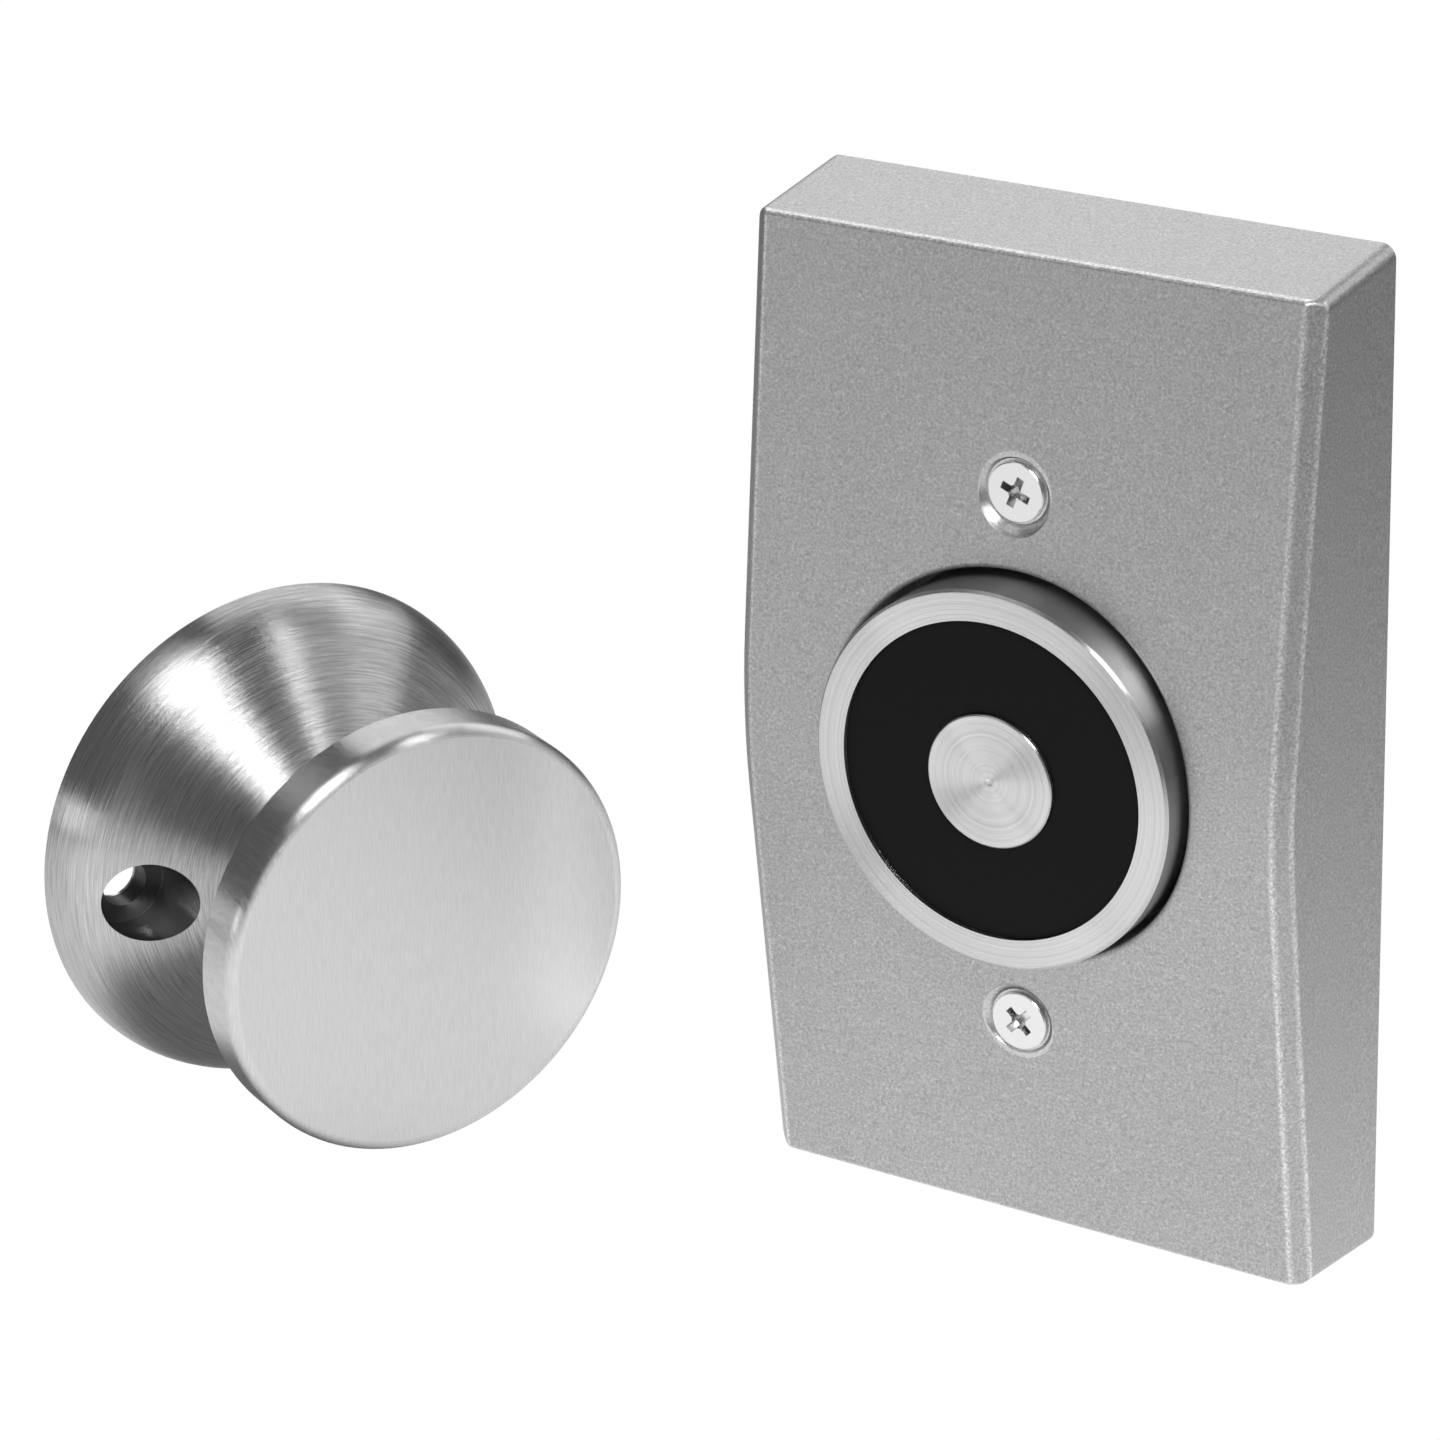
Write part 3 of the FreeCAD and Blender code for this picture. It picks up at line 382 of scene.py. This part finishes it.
# Pieces behind the cover and inside the base: two tones, metal, roughness, size of the mottle.
innerLooks = {
    "zincPlate": ((0.50, 0.50, 0.47), (0.60, 0.59, 0.52), 1.0, 0.35, 500.0),
    "bluedSteel": ((0.10, 0.10, 0.11), (0.16, 0.16, 0.18), 1.0, 0.35, 900.0),
    "naturalNylon": ((0.60, 0.58, 0.52), (0.66, 0.64, 0.58), 0.0, 0.45, 300.0),
    "copperWire": ((0.42, 0.14, 0.05), (0.60, 0.25, 0.10), 1.0, 0.30, 1500.0),
    "tinnedBrass": ((0.60, 0.59, 0.55), (0.70, 0.69, 0.66), 1.0, 0.25, 900.0),
    "turnedBrass": ((0.58, 0.41, 0.18), (0.70, 0.52, 0.26), 1.0, 0.28, 900.0),
    "greenMask": ((0.012, 0.10, 0.035), (0.02, 0.15, 0.05), 0.0, 0.25, 400.0),
    "greenNylon": ((0.03, 0.22, 0.08), (0.04, 0.27, 0.10), 0.0, 0.42, 700.0),
    "blackEpoxy": ((0.012, 0.012, 0.012), (0.024, 0.024, 0.024), 0.0, 0.5, 1500.0),
    "darkSleeve": ((0.012, 0.014, 0.03), (0.02, 0.022, 0.045), 0.0, 0.22, 300.0),
    "blueDip": ((0.02, 0.07, 0.28), (0.03, 0.10, 0.36), 0.0, 0.3, 800.0),
    "whiteAcetal": ((0.62, 0.62, 0.59), (0.68, 0.68, 0.66), 0.0, 0.4, 400.0),
}
innerPieces = {
    "zincPlate": ["mounting_bracket", "core_screw", "board_screws", "terminal_screws", "ball_stud"],
    "bluedSteel": ["lock_washer", "disc_spring", "retaining_ring"],
    "naturalNylon": ["coil_bobbin"],
    "copperWire": ["coil_winding"],
    "tinnedBrass": ["coil_pins"],
    "turnedBrass": ["board_standoffs"],
    "greenMask": ["circuit_board"],
    "greenNylon": ["terminal_block"],
    "blackEpoxy": ["bridge_rectifier"],
    "darkSleeve": ["capacitor"],
    "blueDip": ["varistor"],
    "whiteAcetal": ["swivel_seat"],
}
innerSkin = {"roughVary": 0.15, "depth": 0.000005}
for name, (first, second, metal, rough, scale) in innerLooks.items():
    material, place = newSurface(name)
    mottle = noise(place, scale, detail=3.0)
    shade(material, place, {
        "Base Color": mixTone(place, mottle, (*first, 1), (*second, 1)),
        "Metallic": metal,
        "Roughness": rough + (mottle - 0.5) * innerSkin["roughVary"],
    }, mottle, innerSkin["depth"])
    dress(material, *innerPieces[name])
print("inner pieces dressed")

# The floor is plain white paper, and seen evenly white. What the paper throws back at the object
# comes from a second sheet, unseen, that fades away from the object as lit paper does.
floorLook = {
    "size": 4.0,
    "drop": -0.0573,
    "gap": 0.001,
    "white": 1.0,
    "rough": 0.9,
    "mottle": 0.01,
    "mottleScale": 40.0,
    "near": 1.03,  # thrown back beside the object
    "middle": (0.0, -0.11),
    "reach": 0.27,  # where it has fallen to half
    "far": 0.5,  # and a lighter patch in front
    "farMiddle": (-0.27, -0.40),
    "farReach": 0.2,
    "shade": 0.8,  # the door half's own shade on it
    "shadeMiddle": (-0.089, -0.045),
    "shadeReach": 0.023,
}


def flatSheet(name, drop, material):
    shape = bmesh.new()
    bmesh.ops.create_grid(shape, x_segments=2, y_segments=2, size=floorLook["size"] / 2)
    bmesh.ops.translate(shape, verts=shape.verts, vec=(0, 0, drop))
    mesh = bpy.data.meshes.new(name)
    shape.to_mesh(mesh)
    shape.free()
    mesh.materials.append(material)
    sheet = bpy.data.objects.new(name, mesh)
    bpy.context.scene.collection.objects.link(sheet)
    return sheet


material, place = newSurface("whitePaper")
mottle = noise(place, floorLook["mottleScale"], detail=0.0)
shade(material, place, {
    "Base Color": (0, 0, 0, 1),
    "Roughness": floorLook["rough"],
    "Specular IOR Level": 0.0,
    "Emission Color": floorLook["white"] + mottle * floorLook["mottle"],
    "Emission Strength": 1.0,
})
material.cycles.emission_sampling = "NONE"  # it lights nothing, so no rays go to it
floor = flatSheet("floor", floorLook["drop"], material)
floor.visible_diffuse = False
floor.visible_glossy = False

material, place = newSurface("litPaper")
across, upward = split(place)[:2]


def apart(centre, reach):
    # Square of the distance from a spot on the floor, in units of reach.
    return squares(across - centre[0], upward - centre[1]) / reach ** 2


lit = floorLook["near"] / (1 + apart(floorLook["middle"], floorLook["reach"]))
lit = lit + floorLook["far"] / (1 + apart(floorLook["farMiddle"], floorLook["farReach"]) ** 2)
shaded = floorLook["shade"] / (1 + apart(floorLook["shadeMiddle"], floorLook["shadeReach"]) ** 4)
shade(material, place, {
    "Base Color": (0, 0, 0, 1),
    "Roughness": 1.0,
    "Specular IOR Level": 0.0,
    "Emission Color": lit * (1 - shaded),
    "Emission Strength": 1.0,
})
material.cycles.emission_sampling = "FRONT"
bounce = flatSheet("bounce", floorLook["drop"] - floorLook["gap"], material)
bounce.visible_camera = False
print("floor laid")

# Soft boxes aim at the object: degrees from +X towards +Y, degrees above the horizon, distance,
# width, height, and how bright the face looks.
boxAim = Vector((-0.03, -0.02, -0.01))
softBoxes = {
    "key": (-43, 43, 1.2, 0.46, 0.46, 8.8),
    "strip": (5, 33, 1.2, 0.18, 0.5, 5.6),
    "overhead": (122, 38, 1.3, 1.0, 0.7, 1.65),
    "frontLeft": (-135, 62, 1.3, 0.9, 0.5, 0.7),
    "front": (-122, 3, 1.4, 1.4, 0.30, 1.45),
    "right": (62, 32, 1.3, 0.8, 0.6, 1.4),
}


def lamp(name, width, height, bright):
    light = bpy.data.lights.new(name, "AREA")
    light.shape = "RECTANGLE"
    light.size = width
    light.size_y = height
    light.energy = bright * math.pi * width * height
    made = bpy.data.objects.new(name, light)
    bpy.context.scene.collection.objects.link(made)
    return made


for name, (turnDeg, riseDeg, distance, width, height, bright) in softBoxes.items():
    turn, rise = math.radians(turnDeg), math.radians(riseDeg)
    away = Vector((math.cos(rise) * math.cos(turn), math.cos(rise) * math.sin(turn), math.sin(rise)))
    softBox = lamp(name, width, height, bright)
    softBox.location = boxAim + away * distance
    softBox.rotation_euler = away.to_track_quat("Z", "Y").to_euler()

# A small white card beside the wall half, as photographers put one, so that the disc doesn't mirror
# the cover's dark side.
cardLook = {"width": 0.03, "height": 0.12, "bright": 0.44, "place": (-0.0355, -0.006, 0.0)}
card = lamp("card", cardLook["width"], cardLook["height"], cardLook["bright"])
card.location = cardLook["place"]
card.rotation_euler = (math.radians(90), 0, math.radians(90))

# The room's own light, with a white backdrop where the camera looks past the floor.
roomLook = {"light": 0.13, "backdrop": 1.0}
world = bpy.data.worlds.new("studio")
bpy.context.scene.world = world
world.use_nodes = True
tree = world.node_tree
tree.nodes.clear()
seen = Socket(tree, tree.nodes.new("ShaderNodeLightPath").outputs["Is Camera Ray"])
sky = seen.node("Background", {}, {
    "Color": (1, 1, 1, 1),
    "Strength": roomLook["light"] + seen * (roomLook["backdrop"] - roomLook["light"]),
})
tree.links.new(sky.outlet, tree.nodes.new("ShaderNodeOutputWorld").inputs["Surface"])
bpy.context.scene.view_settings.view_transform = "Standard"
print("lights placed")

# The camera stands where the photograph was taken from.
cameraLook = {
    "lens": 132.647,
    "sensor": 36.0,
    "nearest": 0.01,
    "farthest": 10.0,
    "place": (0.25991, -0.46302, 0.22403),
    "right": (0.837192, 0.546201, -0.027835),
    "up": (-0.192102, 0.341334, 0.920102),
    "back": (0.512061, -0.764955, 0.390688),
}
lens = bpy.data.cameras.new("photoCamera")
lens.lens = cameraLook["lens"]
lens.sensor_width = cameraLook["sensor"]
lens.clip_start = cameraLook["nearest"]
lens.clip_end = cameraLook["farthest"]
camera = bpy.data.objects.new("photoCamera", lens)
turn = Matrix([cameraLook["right"], cameraLook["up"], cameraLook["back"]]).transposed()
camera.matrix_world = Matrix.Translation(cameraLook["place"]) @ turn.to_4x4()
bpy.context.scene.collection.objects.link(camera)
bpy.context.scene.camera = camera
print("camera placed")
